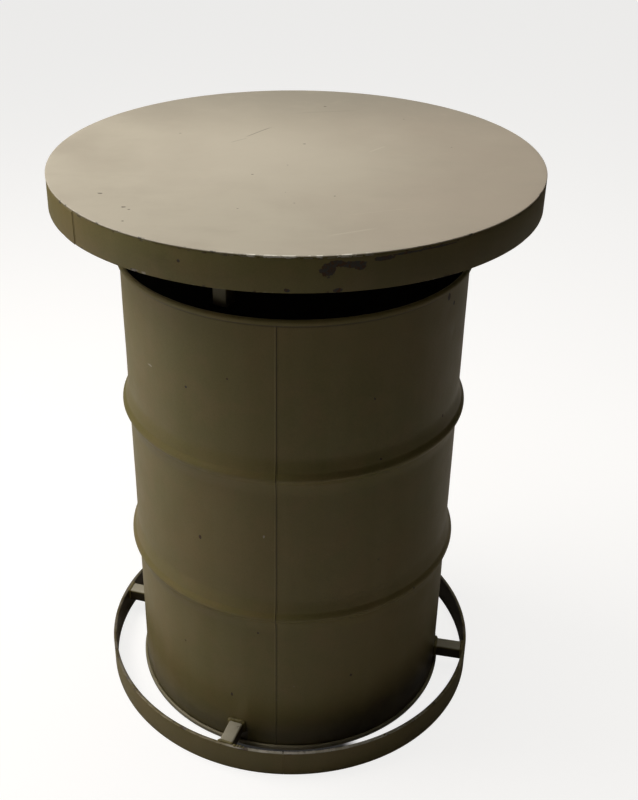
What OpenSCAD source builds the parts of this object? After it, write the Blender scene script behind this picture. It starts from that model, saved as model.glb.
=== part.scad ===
// Bar table built on a closed-head steel drum.
// A round steel top stands on four posts welded to the drum's head, and a flat-bar
// foot ring is welded round the drum's base on four short brackets.
//
// Millimetres. The origin is on the floor, on the drum's axis, and +Z is up.
// The front of the table faces -Y. An azimuth is an angle round +Z, counted from
// the front, positive towards +X.

/* [Drum] */
// Height of the drum over both chimes
drum_h = 865; // [855:1:885]
// Outside diameter over the chimes
chime_d = 585; // [584:0.5:587]
// Outside diameter of the drum's plain wall
body_d = 574; // [573:0.5:575]
// Thickness of the body and head sheet
sheet_t = 1.2; // [1:0.1:1.4]
// Height of the folded chime seam
chime_h = 10; // [9:0.5:14]
// Depth of each head below its chime
head_recess = 18; // [17:1:22]
// Azimuth of the body's seam weld
seam_azimuth = -3.5; // [-20:0.5:20]

/* [Rolling hoops] */
// Height of the lower hoop's crest
low_hoop_z = 311; // [280:1:340]
// Height of the upper hoop's crest
high_hoop_z = 592; // [560:1:620]
// How far a hoop's sharp crest stands out of the wall
hoop_out = 11; // [8:0.5:13]
// How far the wide swell under the crest stands out of the wall
swell_out = 6.5; // [4:0.5:7]
// Half of the swell's height, from crest to plain wall
swell_half_h = 38; // [28:1:45]
// Half of the sharp crest's height
crest_half_h = 12; // [9:0.5:16]

/* [Table top] */
// Height of the table over the floor
table_h = 1007; // [990:1:1100]
// Diameter of the top
top_d = 780; // [720:5:860]
// Thickness of the top's plate
plate_t = 3; // [2:0.5:5]
// Height of the rim band under the plate
band_h = 50; // [40:1:60]
// Thickness of the rim band and the foot ring
bar_t = 6; // [4:0.5:8]
// Azimuth of the rim band's butt joint
rim_joint_azimuth = -52; // [-60:1:-40]

/* [Posts and bearers] */
// Width of the square tube that posts, bearers and brackets are cut from
tube_w = 25; // [20:1:30]
// Wall of the square tube
tube_wall = 2; // [1.5:0.5:3]
// Radius of the circle that the posts stand on
post_circle_r = 228; // [215:1:240]
// Azimuth of the first post; the others follow every quarter turn
post_azimuth = -26; // [-35:1:-15]

/* [Foot ring] */
// Outside diameter of the foot ring
ring_d = 700; // [680:5:740]
// Height of the foot ring's flat bar
ring_h = 52; // [40:1:60]
// Azimuth of the foot ring's butt joint
ring_joint_azimuth = 0; // [-8:1:8]
// How far the ring's centre lies off the drum's axis, to the right
ring_off_x = -3; // [-5:0.5:5]
// How far the ring's centre lies off the drum's axis, to the back
ring_off_y = 3; // [-5:0.5:5]

/* [Bungs] */
// Radius of the circle through both bungs
bung_circle_r = 215; // [205:1:220]
// Azimuth of the large bung; the vent is opposite
bung_azimuth = 109; // [100:1:115]
// Outside diameter of the large plug's pipe thread
bung_thread_d = 59.6; // [59:0.1:60]
// Outside diameter of the vent plug's pipe thread
vent_thread_d = 26.4; // [26:0.1:27]

/* [Hidden] */
$fn = 256;

// The brackets were set by eye, so their spacing is not quite even.
bracket_azimuths = [-18, 80, -105, 165];
bearer_azimuths = [post_azimuth, post_azimuth + 90, post_azimuth + 180, post_azimuth + 270];

// Radii and levels that follow from the driving dimensions
chime_r = chime_d / 2;
body_r = body_d / 2;
top_r = top_d / 2;
band_in_r = top_r - bar_t;
ring_r = ring_d / 2;
ring_in_r = ring_r - bar_t;
head_z = drum_h - head_recess;
plate_z = table_h - plate_t;
band_z = plate_z - band_h;
bearer_z = plate_z - tube_w;
bracket_z = ring_h - tube_w;

// Folded chime seam: the head's sheet wraps over the end of the body's sheet.
fold_in_r = body_r - 2 * sheet_t;
fold_w = chime_r - fold_in_r;
fold_cap = 3.5;
seal_w = 1.6;
seal_h = 3.5;
head_corner_r = 5;

// Welds
bead_r = 3;
joint_gap = 3;
joint_proud = 0.6;
joint_half_w = 2.5;
seam_w = 6;
seam_proud = 0.35;
joint_inset = 1;
stitch_angle = 4.5;
stitch_count = 12;
stitch_leg = 5;
stitch_toe = 2;

// Threaded closures in the drum's head, measured from the head's upper face
thread_clearance = 0.3;
neck_wall = 3.2;
neck_down = 10;
neck_up = 3;
base_t = 3;
base_w = 7;
lip_w = 2.5;
lip_h = 2;
closure_seal_t = 1;
closure_seal_w = 6;
gasket_t = 1.5;
plug_rim_t = 3;
plug_wall = 3.5;
plug_floor = 3;
plug_lift = 1;
lug_w = 4;
lug_h = 5;

paint_khaki = [0.36, 0.34, 0.26];
paint_top = [0.62, 0.58, 0.49];
zinc = [0.66, 0.66, 0.63];
rubber = [0.14, 0.13, 0.12];

// ---------------------------------------------------------------- shared shapes

// Places its children at an azimuth; they are drawn towards the front, -Y.
module at_azimuth(a) {
    rotate([0, 0, a]) children();
}

// Places its children at every post.
module at_posts() {
    for (a = bearer_azimuths)
        at_azimuth(a) translate([0, -post_circle_r, 0]) children();
}

// A flat ring between two radii, standing on z.
module hoop(r_out, r_in, h, z) {
    translate([0, 0, z])
        rotate_extrude()
            translate([r_in, 0]) square([r_out - r_in, h]);
}

// A flat-bar hoop with a slot for its butt weld.
module jointed_hoop(r_out, r_in, h, z, joint_azimuth) {
    difference() {
        hoop(r_out, r_in, h, z);
        at_azimuth(joint_azimuth)
            translate([-joint_gap / 2, -r_out - 1, z - 1])
                cube([joint_gap, r_out - r_in + 2, h + 2]);
    }
}

// The butt weld of a flat-bar hoop: it fills the slot, stands a little proud, and
// stops just above the bar's lower edge.
module joint_weld(r_out, r_in, h, z, joint_azimuth) {
    crown_r = (joint_half_w * joint_half_w + joint_proud * joint_proud) / (2 * joint_proud);
    at_azimuth(joint_azimuth)
        translate([0, 0, z + joint_inset])
            linear_extrude(h - joint_inset)
                difference() {
                    union() {
                        translate([-joint_gap / 2, -r_out - joint_proud / 3])
                            square([joint_gap, r_out - r_in + 1]);
                        difference() {
                            translate([0, crown_r - joint_proud - r_out]) circle(r = crown_r);
                            circle(r = r_out);
                        }
                    }
                    circle(r = r_in);
                }
}

// Outside of the square tube, along -Y from y_near to y_far, with its underside on z.
module tube_bar(y_near, y_far, z) {
    translate([-tube_w / 2, -y_far, z]) cube([tube_w, y_far - y_near, tube_w]);
}

// The tube's bore for a bar that lies along -Y.
module tube_bar_bore(y_near, y_far, z) {
    bore_w = tube_w - 2 * tube_wall;
    translate([-bore_w / 2, -y_far, z + tube_wall]) cube([bore_w, y_far - y_near, bore_w]);
}

// A straight bead along X, Y or Z with round ends.
module bead(from, to) {
    run = to - from;
    turn = run.x != 0 ? [0, 90, 0] : run.y != 0 ? [-90, 0, 0] : [0, 0, 0];
    translate(from) {
        rotate(turn) cylinder(r = bead_r, h = norm(run), $fn = 24);
        sphere(r = bead_r, $fn = 24);
    }
    translate(to) sphere(r = bead_r, $fn = 24);
}

// ---------------------------------------------------------------- drum

// A smooth wave: 1 on its crest, 0 from half_h above or below it.
function wave(off, half_h) = abs(off) < half_h ? (1 + cos(180 * off / half_h)) / 2 : 0;

// How far a rolling hoop stands out of the wall at height z.
function hoop_rise(z, crest_z) =
    swell_out * wave(z - crest_z, swell_half_h) + (hoop_out - swell_out) * wave(z - crest_z, crest_half_h);

// Outside radius of the drum's wall at height z.
function wall_r(z) = body_r + hoop_rise(z, low_hoop_z) + hoop_rise(z, high_hoop_z);

// Heights that a hoop's curve is drawn through: close together over the crest.
swell_steps = 7;
crest_steps = 7;

function hoop_levels(crest_z) =
    let (swell_step = (swell_half_h - crest_half_h) / swell_steps)
    concat(
        [for (i = [0 : swell_steps - 1]) crest_z - swell_half_h + swell_step * i],
        [for (i = [-crest_steps : crest_steps]) crest_z + crest_half_h * i / crest_steps],
        [for (i = [1 : swell_steps]) crest_z + crest_half_h + swell_step * i]
    );

function wall_levels(z_low, z_high) =
    concat([z_low], hoop_levels(low_hoop_z), hoop_levels(high_hoop_z), [z_high]);

// A skin on the wall's outline, from inset to outset millimetres off the outside.
module wall_skin(z_low, z_high, inset, outset) {
    levels = wall_levels(z_low, z_high);
    last = len(levels) - 1;
    polygon(concat(
        [for (i = [0 : last]) [wall_r(levels[i]) + outset, levels[i]]],
        [for (i = [last : -1 : 0]) [wall_r(levels[i]) - inset, levels[i]]]
    ));
}

module drum_body() {
    color(paint_khaki)
        rotate_extrude() wall_skin(fold_cap, drum_h - fold_cap, sheet_t, 0);
}

module drum_seam_weld() {
    turn = seam_w / body_r * 180 / PI;
    color(paint_khaki)
        rotate([0, 0, seam_azimuth - 90 - turn / 2])
            rotate_extrude(angle = turn) wall_skin(chime_h, drum_h - chime_h, 0, seam_proud);
}

// Half section of a head, with its chime's top edge on z = 0.
module head_section() {
    fold_r = fold_w / 2;
    skirt_r = (chime_r - body_r) / 2;
    difference() {
        union() {
            translate([fold_in_r, skirt_r - chime_h])
                square([fold_w, chime_h - skirt_r - fold_r]);
            translate([fold_in_r + fold_r, -fold_r]) circle(r = fold_r);
            translate([chime_r - skirt_r, skirt_r - chime_h]) circle(r = skirt_r);
            translate([fold_in_r, -head_recess]) square([sheet_t, head_recess - fold_r]);
        }
        translate([body_r - sheet_t, -chime_h - 1]) square([sheet_t, chime_h + 1 - fold_cap]);
        translate([body_r, -fold_cap - seal_h]) square([seal_w, seal_h]);
    }
    difference() {
        translate([0, -head_recess - sheet_t]) square([fold_in_r + sheet_t, head_corner_r + sheet_t]);
        translate([-1, -head_recess]) square([fold_in_r - head_corner_r + 1, head_corner_r + 1]);
        translate([fold_in_r - head_corner_r, head_corner_r - head_recess]) circle(r = head_corner_r);
    }
}

module top_head() {
    color(paint_khaki)
        difference() {
            translate([0, 0, drum_h]) rotate_extrude() head_section();
            at_bung() cylinder(r = neck_r(bung_thread_d), h = 20, center = true);
            at_vent() cylinder(r = neck_r(vent_thread_d), h = 20, center = true);
        }
}

module bottom_head() {
    color(paint_khaki)
        mirror([0, 0, 1]) rotate_extrude() head_section();
}

module chime_seal() {
    color(rubber) hoop(body_r + seal_w, body_r, seal_h, -fold_cap - seal_h);
}

module top_chime_seal() {
    translate([0, 0, drum_h]) chime_seal();
}

module bottom_chime_seal() {
    mirror([0, 0, 1]) chime_seal();
}

// ---------------------------------------------------------------- threaded closures

// Each is drawn on the axis of its hole, with the head's upper face on z = 0.
function bore_r(thread_d) = thread_d / 2 + thread_clearance;
function neck_r(thread_d) = bore_r(thread_d) + neck_wall;

module at_bung() {
    at_azimuth(bung_azimuth) translate([0, -bung_circle_r, head_z]) children();
}

module at_vent() {
    at_azimuth(bung_azimuth + 180) translate([0, -bung_circle_r, head_z]) children();
}

// Threaded neck with an eight-sided base under the sheet and a lip over it.
module closure_flange(thread_d) {
    base_top = -sheet_t - closure_seal_t;
    color(zinc)
        difference() {
            union() {
                translate([0, 0, -neck_down]) cylinder(r = neck_r(thread_d), h = neck_down + neck_up);
                translate([0, 0, base_top - base_t])
                    cylinder(r = neck_r(thread_d) + base_w, h = base_t, $fn = 8);
                cylinder(r = neck_r(thread_d) + lip_w, h = lip_h);
            }
            translate([0, 0, -neck_down - 1])
                cylinder(r = bore_r(thread_d), h = neck_down + neck_up + 2);
        }
}

module closure_seal(thread_d) {
    neck = neck_r(thread_d);
    color(rubber)
        hoop(neck + closure_seal_w, neck, closure_seal_t, -sheet_t - closure_seal_t);
}

module closure_gasket(thread_d) {
    color(rubber) hoop(neck_r(thread_d), bore_r(thread_d), gasket_t, neck_up);
}

// Cup-shaped plug with a rim and two wrench lugs across the cup.
module closure_plug(thread_d) {
    rim_z = neck_up + gasket_t;
    bottom_z = plug_lift - neck_down;
    cup_z = bottom_z + plug_floor;
    cup_r = thread_d / 2 - plug_wall;
    lug_offset = thread_d / 8;
    color(zinc) {
        difference() {
            union() {
                translate([0, 0, bottom_z]) cylinder(d = thread_d, h = rim_z - bottom_z);
                translate([0, 0, rim_z]) cylinder(r = neck_r(thread_d), h = plug_rim_t);
            }
            translate([0, 0, cup_z]) cylinder(r = cup_r, h = rim_z + plug_rim_t - cup_z + 1);
        }
        for (side = [-1, 1])
            intersection() {
                translate([-cup_r, side * lug_offset - lug_w / 2, cup_z])
                    cube([2 * cup_r, lug_w, lug_h]);
                translate([0, 0, cup_z]) cylinder(r = cup_r, h = lug_h);
            }
    }
}

module bung_flange() { at_bung() closure_flange(bung_thread_d); }
module bung_flange_seal() { at_bung() closure_seal(bung_thread_d); }
module bung_gasket() { at_bung() closure_gasket(bung_thread_d); }
module bung_plug() { at_bung() closure_plug(bung_thread_d); }
module vent_flange() { at_vent() closure_flange(vent_thread_d); }
module vent_flange_seal() { at_vent() closure_seal(vent_thread_d); }
module vent_gasket() { at_vent() closure_gasket(vent_thread_d); }
module vent_plug() { at_vent() closure_plug(vent_thread_d); }

// ---------------------------------------------------------------- posts and bearers

// One post, counted from 1: a tube from the head up to the bearers.
module post(number) {
    bore_w = tube_w - 2 * tube_wall;
    length = bearer_z - head_z;
    color(paint_khaki)
        at_azimuth(bearer_azimuths[number - 1])
            translate([0, -post_circle_r, head_z])
                difference() {
                    translate([-tube_w / 2, -tube_w / 2, 0]) cube([tube_w, tube_w, length]);
                    translate([-bore_w / 2, -bore_w / 2, -1]) cube([bore_w, bore_w, length + 2]);
                }
}

// Fillet welds all round each post's foot.
module post_foot_welds() {
    half = tube_w / 2;
    color(paint_khaki)
        at_posts()
            difference() {
                union() {
                    for (side = [-half, half]) {
                        bead([-half, side, head_z], [half, side, head_z]);
                        bead([side, -half, head_z], [side, half, head_z]);
                    }
                }
                translate([-half, -half, head_z - 1]) cube([tube_w, tube_w, 20]);
                translate([-tube_w, -tube_w, head_z - 10]) cube([2 * tube_w, 2 * tube_w, 10]);
            }
}

// Welds across the bearer's underside, on two faces of each post.
module post_head_welds() {
    half = tube_w / 2;
    reach = half - bead_r;
    color(paint_khaki)
        at_posts()
            difference() {
                union() {
                    for (side = [-half, half])
                        bead([-reach, side, bearer_z], [reach, side, bearer_z]);
                }
                translate([-half, -half, bearer_z - 20]) cube([tube_w, tube_w, 20]);
                translate([-tube_w, -tube_w, bearer_z]) cube([2 * tube_w, 2 * tube_w, 10]);
            }
}

// Trims a bar to the inside of the rim band.
module trimmed_to_band() {
    intersection() {
        children();
        translate([0, 0, bearer_z - 1]) cylinder(r = band_in_r, h = tube_w + 2);
    }
}

// The bearer that runs from side to side, over posts 1 and 3.
module long_bearer() {
    color(paint_khaki)
        at_azimuth(post_azimuth)
            trimmed_to_band()
                difference() {
                    tube_bar(-top_r, top_r, bearer_z);
                    tube_bar_bore(-top_r - 1, top_r + 1, bearer_z);
                }
}

// A bearer that butts against the long one: number 1 over post 2, number 2 over post 4.
module half_bearer(number) {
    near = tube_w / 2;
    color(paint_khaki)
        at_azimuth(bearer_azimuths[2 * number - 1])
            trimmed_to_band()
                difference() {
                    tube_bar(near, top_r, bearer_z);
                    tube_bar_bore(near - 1, top_r + 1, bearer_z);
                }
}

// Upright beads in the corners where bearers meet each other and the rim band.
module bearer_welds() {
    half = tube_w / 2;
    low = bearer_z + bead_r;
    length = tube_w - 2 * bead_r;
    color(paint_khaki)
        difference() {
            for (a = bearer_azimuths)
                at_azimuth(a) {
                    translate([half, -half, low]) cylinder(r = bead_r, h = length);
                    for (side = [-half, half])
                        translate([side, -band_in_r, low]) cylinder(r = bead_r, h = length);
                }
            for (a = bearer_azimuths)
                at_azimuth(a) tube_bar(0, top_r + 20, bearer_z);
            hoop(top_r + 10, band_in_r, tube_w + 2, bearer_z - 1);
        }
}

// ---------------------------------------------------------------- table top

module table_plate() {
    edge = 0.8;
    color(paint_top)
        translate([0, 0, plate_z])
            rotate_extrude()
                polygon([[0, 0], [top_r, 0], [top_r, plate_t - edge], [top_r - edge, plate_t], [0, plate_t]]);
}

module rim_band() {
    color(paint_khaki)
        jointed_hoop(top_r, band_in_r, band_h, band_z, rim_joint_azimuth);
}

module rim_joint_weld() {
    color(paint_khaki)
        joint_weld(top_r, band_in_r, band_h, band_z, rim_joint_azimuth);
}

// Short fillets in the corner between the plate and the rim band.
module plate_stitch_welds() {
    step = 360 / stitch_count;
    color(paint_khaki)
        for (i = [0 : stitch_count - 1])
            rotate([0, 0, post_azimuth + step * (i + 0.5) - stitch_angle / 2 - 90])
                translate([0, 0, plate_z])
                    rotate_extrude(angle = stitch_angle)
                        polygon([
                            [band_in_r, 0],
                            [band_in_r - stitch_leg, 0],
                            [band_in_r - stitch_toe, -stitch_toe],
                            [band_in_r, -stitch_leg]
                        ]);
}

// ---------------------------------------------------------------- foot ring

// The ring was welded on by eye, so it is not quite centred on the drum.
module at_ring() {
    translate([ring_off_x, ring_off_y, 0]) children();
}

// Distance from the drum's axis to the ring's inner face, at an azimuth.
function ring_reach(a) = ring_in_r + ring_off_x * sin(a) - ring_off_y * cos(a);

module foot_ring() {
    color(paint_khaki)
        at_ring() jointed_hoop(ring_r, ring_in_r, ring_h, 0, ring_joint_azimuth);
}

module foot_ring_joint_weld() {
    color(paint_khaki)
        at_ring() joint_weld(ring_r, ring_in_r, ring_h, 0, ring_joint_azimuth);
}

// One bracket, counted from 1: a short tube coped to the drum and to the ring.
module bracket(number) {
    color(paint_khaki)
        intersection() {
            at_azimuth(bracket_azimuths[number - 1])
                difference() {
                    tube_bar(0, ring_r, bracket_z);
                    tube_bar_bore(-1, ring_r + 1, bracket_z);
                    translate([0, 0, -1]) cylinder(r = body_r, h = ring_h + 2);
                }
            at_ring() translate([0, 0, -1]) cylinder(r = ring_in_r, h = ring_h + 2);
        }
}

// Beads over the top and down both sides of each bracket, at both of its ends.
module bracket_welds() {
    half = tube_w / 2;
    low = bracket_z + bead_r;
    color(paint_khaki)
        difference() {
            for (a = bracket_azimuths)
                at_azimuth(a)
                    for (r = [body_r, ring_reach(a)]) {
                        bead([-half, -r, ring_h], [half, -r, ring_h]);
                        for (side = [-half, half])
                            bead([side, -r, low], [side, -r, ring_h]);
                    }
            for (a = bracket_azimuths)
                at_azimuth(a) tube_bar(body_r - 20, ring_reach(a) + 1, bracket_z);
            translate([0, 0, -1]) cylinder(r = body_r, h = ring_h + 20);
            at_ring() hoop(ring_r + 10, ring_in_r, ring_h + 1, -1);
        }
}

// ---------------------------------------------------------------- nodes

drum_body();
drum_seam_weld();
top_head();
bottom_head();
top_chime_seal();
bottom_chime_seal();
bung_flange();
bung_flange_seal();
bung_gasket();
bung_plug();
vent_flange();
vent_flange_seal();
vent_gasket();
vent_plug();
for (number = [1 : 4]) {
    post(number);
}
post_foot_welds();
post_head_welds();
long_bearer();
for (number = [1 : 2]) {
    half_bearer(number);
}
bearer_welds();
table_plate();
rim_band();
rim_joint_weld();
plate_stitch_welds();
foot_ring();
foot_ring_joint_weld();
for (number = [1 : 4]) {
    bracket(number);
}
bracket_welds();
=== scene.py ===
"""Looks of the drum table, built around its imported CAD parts.

Metres. The origin is on the floor, on the drum's axis, +Z is up and the front is -Y.
An azimuth is an angle round +Z in degrees, counted from the front, positive towards +X.
"""

import math

import bmesh
import bpy
from mathutils import Matrix, Vector, noise


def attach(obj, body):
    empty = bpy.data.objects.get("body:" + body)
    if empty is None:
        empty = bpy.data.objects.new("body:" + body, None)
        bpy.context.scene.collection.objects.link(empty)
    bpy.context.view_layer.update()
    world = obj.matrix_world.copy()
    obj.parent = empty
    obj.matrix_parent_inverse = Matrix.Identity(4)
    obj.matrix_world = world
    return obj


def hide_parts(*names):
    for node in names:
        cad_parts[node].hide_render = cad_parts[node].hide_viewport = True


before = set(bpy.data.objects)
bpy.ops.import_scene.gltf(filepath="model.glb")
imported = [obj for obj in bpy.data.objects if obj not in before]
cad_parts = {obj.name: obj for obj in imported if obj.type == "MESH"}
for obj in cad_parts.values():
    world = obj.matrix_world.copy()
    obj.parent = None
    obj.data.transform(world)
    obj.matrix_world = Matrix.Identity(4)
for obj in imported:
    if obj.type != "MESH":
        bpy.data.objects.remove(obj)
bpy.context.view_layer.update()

MM = 0.001

# ------------------------------------------------------------------ sizes, as in the CAD

DRUM_H = 865 * MM
CHIME_R = 292.5 * MM
BODY_R = 287 * MM
SHEET = 1.2 * MM
CHIME_H = 10 * MM
HEAD_RECESS = 18 * MM
FOLD_CAP = 3.5 * MM
HEAD_CORNER = 5 * MM
SEAM_AZ = -3.5

HOOP_LEVELS = (311 * MM, 592 * MM)
HOOP_OUT = 11 * MM
SWELL_OUT = 6.5 * MM
SWELL_HALF = 38 * MM
CREST_HALF = 12 * MM

TABLE_H = 1007 * MM
TOP_R = 390 * MM
PLATE_T = 3 * MM
BAR_T = 6 * MM
BAND_H = 50 * MM
RIM_JOINT_AZ = -52

TUBE_W = 25 * MM
TUBE_WALL = 2 * MM
POST_R = 228 * MM
POST_AZ = -26

RING_R = 350 * MM
RING_H = 52 * MM
RING_JOINT_AZ = 0
RING_OFF_X = -3 * MM
RING_OFF_Y = 3 * MM
BRACKET_AZ = (-18, 80, -105, 165)

BUNG_R = 215 * MM
BUNG_AZ = 109
BUNG_THREAD = 59.6 * MM
VENT_THREAD = 26.4 * MM
BUNG_PITCH = 25.4 / 11 * MM
VENT_PITCH = 25.4 / 14 * MM
THREAD_GAP = 0.3 * MM
NECK_WALL = 3.2 * MM

JOINT_GAP = 3 * MM
BEAD_R = 3 * MM

HEAD_Z = DRUM_H - HEAD_RECESS
PLATE_Z = TABLE_H - PLATE_T
BAND_Z = PLATE_Z - BAND_H
BEARER_Z = PLATE_Z - TUBE_W
BRACKET_Z = RING_H - TUBE_W
BAND_IN_R = TOP_R - BAR_T
RING_IN_R = RING_R - BAR_T
FOLD_IN_R = BODY_R - 2 * SHEET

# ------------------------------------------------------------------ mesh helpers


def polar(azimuth, radius, z):
    """The point at an azimuth, a radius and a height."""
    a = math.radians(azimuth)
    return Vector((radius * math.sin(a), -radius * math.cos(a), z))


def wave(point, scale, seed=0.0):
    """Smooth noise from -1 to 1 that repeats from run to run."""
    return noise.noise(Vector(point) * scale + Vector((seed, seed * 0.7, seed * 1.3)))


def rounded(corners, steps=4):
    """A closed outline from (x, y, radius) corners, each rounded off by an arc."""
    points = []
    for i, (x, y, radius) in enumerate(corners):
        here = Vector((x, y))
        if radius == 0:
            points.append((x, y))
            continue
        before = (Vector(corners[i - 1][:2]) - here).normalized()
        after = (Vector(corners[(i + 1) % len(corners)][:2]) - here).normalized()
        half = before.angle(after) / 2
        centre = here + (before + after).normalized() * (radius / math.sin(half))
        start = here + before * (radius / math.tan(half)) - centre
        stop = here + after * (radius / math.tan(half)) - centre
        first = math.atan2(start.y, start.x)
        sweep = math.atan2(stop.y, stop.x) - first
        sweep = (sweep + math.pi) % (2 * math.pi) - math.pi
        for k in range(steps + 1):
            a = first + sweep * k / steps
            points.append((centre.x + radius * math.cos(a), centre.y + radius * math.sin(a)))
    return points


def bar_outline(r_in, r_out, low, high, corner):
    """Section of a flat bar bent into a hoop, with its corners eased."""
    sides = (
        (r_in, low, corner), (r_out, low, corner), (r_out, high, corner), (r_in, high, corner),
    )
    return rounded(sides, 3)


def arc_points(centre_x, centre_y, radius, start, stop, steps):
    """Points on an arc from start to stop, in degrees."""
    angles = (math.radians(start + (stop - start) * k / steps) for k in range(steps + 1))
    return [(centre_x + radius * math.cos(a), centre_y + radius * math.sin(a)) for a in angles]


def finish_mesh(name, bm, sharp_angle=32):
    """Closes off a bmesh as a smooth-shaded object."""
    bmesh.ops.recalc_face_normals(bm, faces=bm.faces)
    mesh = bpy.data.meshes.new(name)
    bm.to_mesh(mesh)
    bm.free()
    mesh.polygons.foreach_set("use_smooth", [True] * len(mesh.polygons))
    mesh.set_sharp_from_angle(angle=math.radians(sharp_angle))
    piece = bpy.data.objects.new(name, mesh)
    bpy.context.scene.collection.objects.link(piece)
    return piece


def add_skin(bm, rows, capped=True):
    """Joins closed rings of vertices, each to the next, and closes both ends."""
    count = len(rows[0])
    for low, high in zip(rows, rows[1:]):
        for k in range(count):
            m = (k + 1) % count
            bm.faces.new((low[k], low[m], high[m], high[k]))
    if capped:
        bm.faces.new(rows[0])
        bm.faces.new(rows[-1])


def add_revolved(bm, outline, azimuths, closed_round, warp=None):
    """Turns an outline of (radius, z) through the azimuths.

    A first and last point on the axis become poles; otherwise the outline is a closed loop.
    """
    poled = outline[0][0] == 0
    ring_points = outline[1:-1] if poled else outline
    warp = warp or (lambda azimuth, radius, z: (radius, z))
    rings = []
    for azimuth in azimuths:
        rings.append([bm.verts.new(polar(azimuth, *warp(azimuth, r, z))) for r, z in ring_points])
    pairs = list(zip(rings, rings[1:]))
    if closed_round:
        pairs.append((rings[-1], rings[0]))
    last = len(ring_points) - 1
    for here, there in pairs:
        for k in range(last):
            bm.faces.new((here[k], there[k], there[k + 1], here[k + 1]))
        if not poled:
            bm.faces.new((here[last], there[last], there[0], here[0]))
    if poled:
        for index, (radius, z) in ((0, outline[0]), (last, outline[-1])):
            pole = bm.verts.new((0, 0, z))
            for here, there in pairs:
                bm.faces.new((pole, there[index], here[index]))
    elif not closed_round:
        bm.faces.new(rings[0])
        bm.faces.new(rings[-1])


def revolved(name, outline, segments, warp=None):
    """A whole turned piece."""
    bm = bmesh.new()
    azimuths = [360 * i / segments for i in range(segments)]
    add_revolved(bm, outline, azimuths, True, warp)
    return finish_mesh(name, bm)


def open_hoop(name, outline, joint_azimuth, joint_radius, segments, warp=None):
    """A bent bar whose two ends face each other across a slot at joint_azimuth."""
    half_gap = math.degrees(JOINT_GAP / 2 / joint_radius)
    start = joint_azimuth + half_gap
    sweep = 360 - 2 * half_gap
    ease = [0, 0.0004, 0.0012]
    shares = ease + [i / segments for i in range(1, segments)] + [1 - e for e in reversed(ease)]
    bm = bmesh.new()
    add_revolved(bm, outline, [start + sweep * s for s in shares], False, warp)
    return finish_mesh(name, bm)


TUBE_CORNER = 3 * MM


def square_outline(width, corner):
    """A square section with round corners, centred on its tube's axis."""
    half = width / 2
    sides = ((-half, -half, corner), (half, -half, corner), (half, half, corner), (-half, half, corner))
    return rounded(sides, 4)


def add_tube(bm, place, near, far, rings=8):
    """A square tube. place(u, v, w) gives a world point; near(u, v) and far(u, v) are its ends along w."""
    loops = []
    for outline in (
        square_outline(TUBE_W, TUBE_CORNER),
        square_outline(TUBE_W - 2 * TUBE_WALL, TUBE_CORNER - TUBE_WALL),
    ):
        levels = []
        for k in range(rings + 1):
            share = k / rings
            levels.append([
                bm.verts.new(place(u, v, near(u, v) * (1 - share) + far(u, v) * share))
                for u, v in outline
            ])
        loops.append(levels)
    for levels in loops:
        add_skin(bm, levels, capped=False)
    outer, inner = loops
    count = len(outer[0])
    for end in (0, -1):
        for k in range(count):
            m = (k + 1) % count
            bm.faces.new((outer[end][k], outer[end][m], inner[end][m], inner[end][k]))


def directions(azimuth):
    """The outward and the sideways unit vectors at an azimuth."""
    return polar(azimuth, 1, 0), polar(azimuth + 90, 1, 0)


def radial_place(azimuth, mid_z):
    """Puts a tube along the radius at an azimuth: u is sideways, v is up, w is outwards."""
    outward, sideways = directions(azimuth)
    return lambda u, v, w: sideways * u + outward * w + Vector((0, 0, mid_z + v))


def upright_place(azimuth, radius):
    """Stands a tube at an azimuth and a radius: u is sideways, v is outwards, w is up."""
    outward, sideways = directions(azimuth)
    return lambda u, v, w: sideways * u + outward * (radius + v) + Vector((0, 0, w))


def resampled(path, spacing):
    """Points at an even spacing along a path of straight runs."""
    points = [path[0]]
    for start, stop in zip(path, path[1:]):
        count = max(1, round((stop - start).length / spacing))
        points += [start.lerp(stop, k / count) for k in range(1, count + 1)]
    return points


RIPPLE = 2.8 * MM
BEAD_SIDES = 10


def add_bead(bm, path, radius=BEAD_R, seed=0.0):
    """A weld bead along a path: a rope of overlapping ripples with tapered ends."""
    points = resampled(path, 0.7 * MM)
    last = len(points) - 1
    length = 0.7 * MM * last
    side = None
    rings = []
    for i, point in enumerate(points):
        tangent = (points[min(i + 1, last)] - points[max(i - 1, 0)]).normalized()
        side = tangent.orthogonal() if side is None else side - tangent * side.dot(tangent)
        side.normalize()
        other = tangent.cross(side)
        run = length * i / last
        ripple = 0.9 + 0.14 * abs(math.sin(math.pi * run / RIPPLE)) ** 0.6
        lump = 0.1 * wave((run, seed, 0), 180) + 0.07 * wave((run, seed, 1), 480)
        taper = min(1, 0.35 + min(run, length - run) / (3 * MM))
        size = radius * (ripple + lump) * taper
        turns = [2 * math.pi * k / BEAD_SIDES for k in range(BEAD_SIDES)]
        rings.append([
            bm.verts.new(point + (side * math.cos(t) + other * math.sin(t)) * size) for t in turns
        ])
    add_skin(bm, rings)


def add_blob(bm, centre, size, seed):
    """A drop of weld spatter."""
    made = bmesh.ops.create_icosphere(bm, subdivisions=2, radius=size)
    for vert in made["verts"]:
        vert.co *= 1 + 0.22 * wave(vert.co, 0.9 / size, seed)
        vert.co.z *= 0.75
        vert.co += centre


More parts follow.
